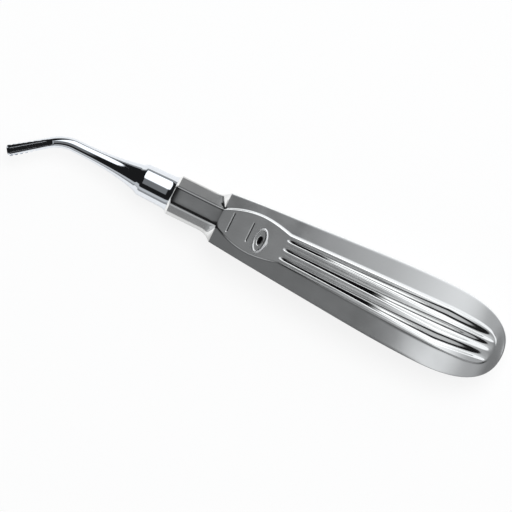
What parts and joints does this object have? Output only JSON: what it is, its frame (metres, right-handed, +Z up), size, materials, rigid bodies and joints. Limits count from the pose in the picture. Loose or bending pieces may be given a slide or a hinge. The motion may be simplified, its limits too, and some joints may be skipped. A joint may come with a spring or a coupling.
{
  "type": "dental elevator",
  "caption": "Dental elevator with a slim serrated, channelled blade bent to one side, a tapered shank with a polished collar, and a broad flattened steel handle with fluted faces.",
  "frame": {"origin": "centre of the bounding box in X and Y, at the surface that the handle lies on", "axes": "+X along the handle from the blade's tip to the butt; +Z up through the broad face with the oval mark; the blade bends towards -Y"},
  "size_m": [0.1548, 0.0248, 0.0134],
  "materials": {
    "polished_steel": "mirror-polished stainless steel",
    "satin_steel": "fine satin stainless steel with polished edges"
  },
  "bodies": {
    "root": {"working_end": "polished_steel", "handle": "satin_steel"}
  },
  "joints": []
}
